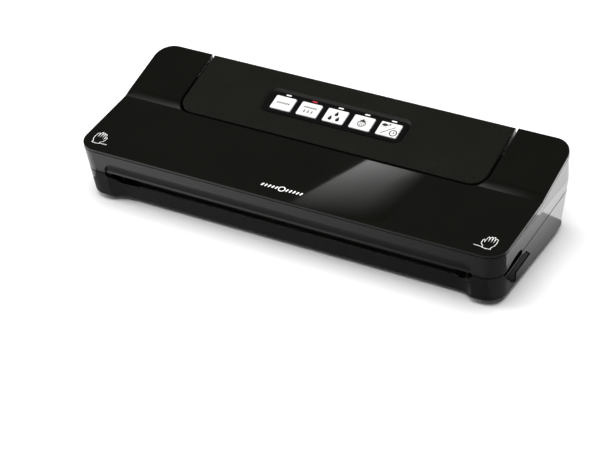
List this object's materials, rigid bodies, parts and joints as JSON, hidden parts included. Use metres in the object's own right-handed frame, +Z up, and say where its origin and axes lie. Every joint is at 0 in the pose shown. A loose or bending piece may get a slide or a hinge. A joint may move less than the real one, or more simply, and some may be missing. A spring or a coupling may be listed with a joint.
{
  "type": "vacuum sealer",
  "caption": "Low countertop vacuum sealer with a U-shaped glossy lid hinged beside a sloped control block, a film slot at the front and side release buttons.",
  "frame": {"origin": "on the table under the middle of the body", "axes": "+X to the right along the long side, the front with the film slot faces -Y, +Z up"},
  "size_m": [0.375, 0.1352, 0.0732],
  "materials": {
    "gloss_black": "gloss",
    "satin_black": "satin",
    "block_black": "satin",
    "base_black": "satin",
    "deck_black": "matte",
    "button_black": "matte",
    "panel_black": "gloss",
    "key_white": "satin",
    "led_white": "gloss",
    "led_red": "gloss",
    "rubber": "matte",
    "gasket_grey": "matte",
    "silicone_grey": "matte",
    "heater_brown": "matte",
    "tape_tan": "satin",
    "steel": "satin",
    "brass": "satin",
    "copper": "satin",
    "pcb_green": "satin",
    "switch_black": "matte",
    "pump_grey": "matte"
  },
  "bodies": {
    "base": {"front_rail": "base_black", "rear_panel": "base_black", "cheek_right": "base_black", "cheek_left": "base_black", "bottom_cover": "base_black", "screw_posts": "base_black", "well_pan": "deck_black", "drip_tray": "deck_black", "base_deck": "deck_black", "rubber_feet": "rubber", "base_screws": "steel", "lower_gasket": "gasket_grey", "heater_bar": "heater_brown", "sealing_wire": "steel", "ptfe_tape": "tape_tan", "wire_terminals": "brass", "cord_gland": "rubber", "hinge_pins": "steel", "lid_switches": "switch_black", "latch_spring_right": "steel", "latch_spring_left": "steel", "control_housing": "block_black", "button_panel": "panel_black", "led_window_lit": "led_red", "led_windows": "led_white", "switch_board": "pcb_green", "key_switches": "switch_black", "led_chips": "led_white", "pump_head": "pump_grey", "pump_motor": "steel", "vacuum_nozzle": "pump_grey", "vacuum_tube": "silicone_grey", "transformer_core": "steel", "transformer_coil": "copper", "main_board": "pcb_green", "board_parts": "switch_black", "board_posts": "base_black"},
    "lid": {"lid_top_plate": "gloss_black", "lid_frame": "satin_black", "lid_inner_panel": "deck_black", "upper_gasket": "gasket_grey", "press_strip": "silicone_grey", "lid_catches": "deck_black", "lid_screws": "steel"},
    "release_right": {"release_button_right": "button_black", "latch_slide_right": "deck_black"},
    "release_left": {"release_button_left": "button_black", "latch_slide_left": "deck_black"},
    "crank": {"pump_crank": "brass"},
    "seal_key": {"seal_key": "key_white"},
    "vacuum_seal_key": {"vacuum_seal_key": "key_white"},
    "moist_key": {"moist_key": "key_white"},
    "gentle_key": {"gentle_key": "key_white"},
    "marinate_key": {"marinate_key": "key_white"}
  },
  "joints": [
    {"name": "lid_hinge", "type": "hinge", "parent": "base", "child": "lid", "pos_m": [0, 0.06, 0.046], "axis": [-1, 0, 0], "range_deg": [0, 70]},
    {"name": "release_right_press", "type": "slide", "parent": "base", "child": "release_right", "axis": [-1, 0, 0], "range_m": [0, 0.003], "stiffness_N_per_m": 800, "springref_m": -0.002, "deforming": ["latch_spring_right"]},
    {"name": "release_left_press", "type": "slide", "parent": "base", "child": "release_left", "axis": [1, 0, 0], "range_m": [0, 0.003], "stiffness_N_per_m": 800, "springref_m": -0.002, "deforming": ["latch_spring_left"]},
    {"name": "seal_key_press", "type": "slide", "parent": "base", "child": "seal_key", "axis": [0, 0.2694, -0.963], "range_m": [0, 0.0008], "stiffness_N_per_m": 500, "springref_m": -0.0008},
    {"name": "vacuum_seal_key_press", "type": "slide", "parent": "base", "child": "vacuum_seal_key", "axis": [0, 0.2694, -0.963], "range_m": [0, 0.0008], "stiffness_N_per_m": 500, "springref_m": -0.0008},
    {"name": "moist_key_press", "type": "slide", "parent": "base", "child": "moist_key", "axis": [0, 0.2694, -0.963], "range_m": [0, 0.0008], "stiffness_N_per_m": 500, "springref_m": -0.0008},
    {"name": "gentle_key_press", "type": "slide", "parent": "base", "child": "gentle_key", "axis": [0, 0.2694, -0.963], "range_m": [0, 0.0008], "stiffness_N_per_m": 500, "springref_m": -0.0008},
    {"name": "marinate_key_press", "type": "slide", "parent": "base", "child": "marinate_key", "axis": [0, 0.2694, -0.963], "range_m": [0, 0.0008], "stiffness_N_per_m": 500, "springref_m": -0.0008},
    {"name": "pump_crank_spin", "type": "hinge", "parent": "base", "child": "crank", "pos_m": [0.05, 0.038, 0.026], "axis": [1, 0, 0], "continuous": true}
  ]
}
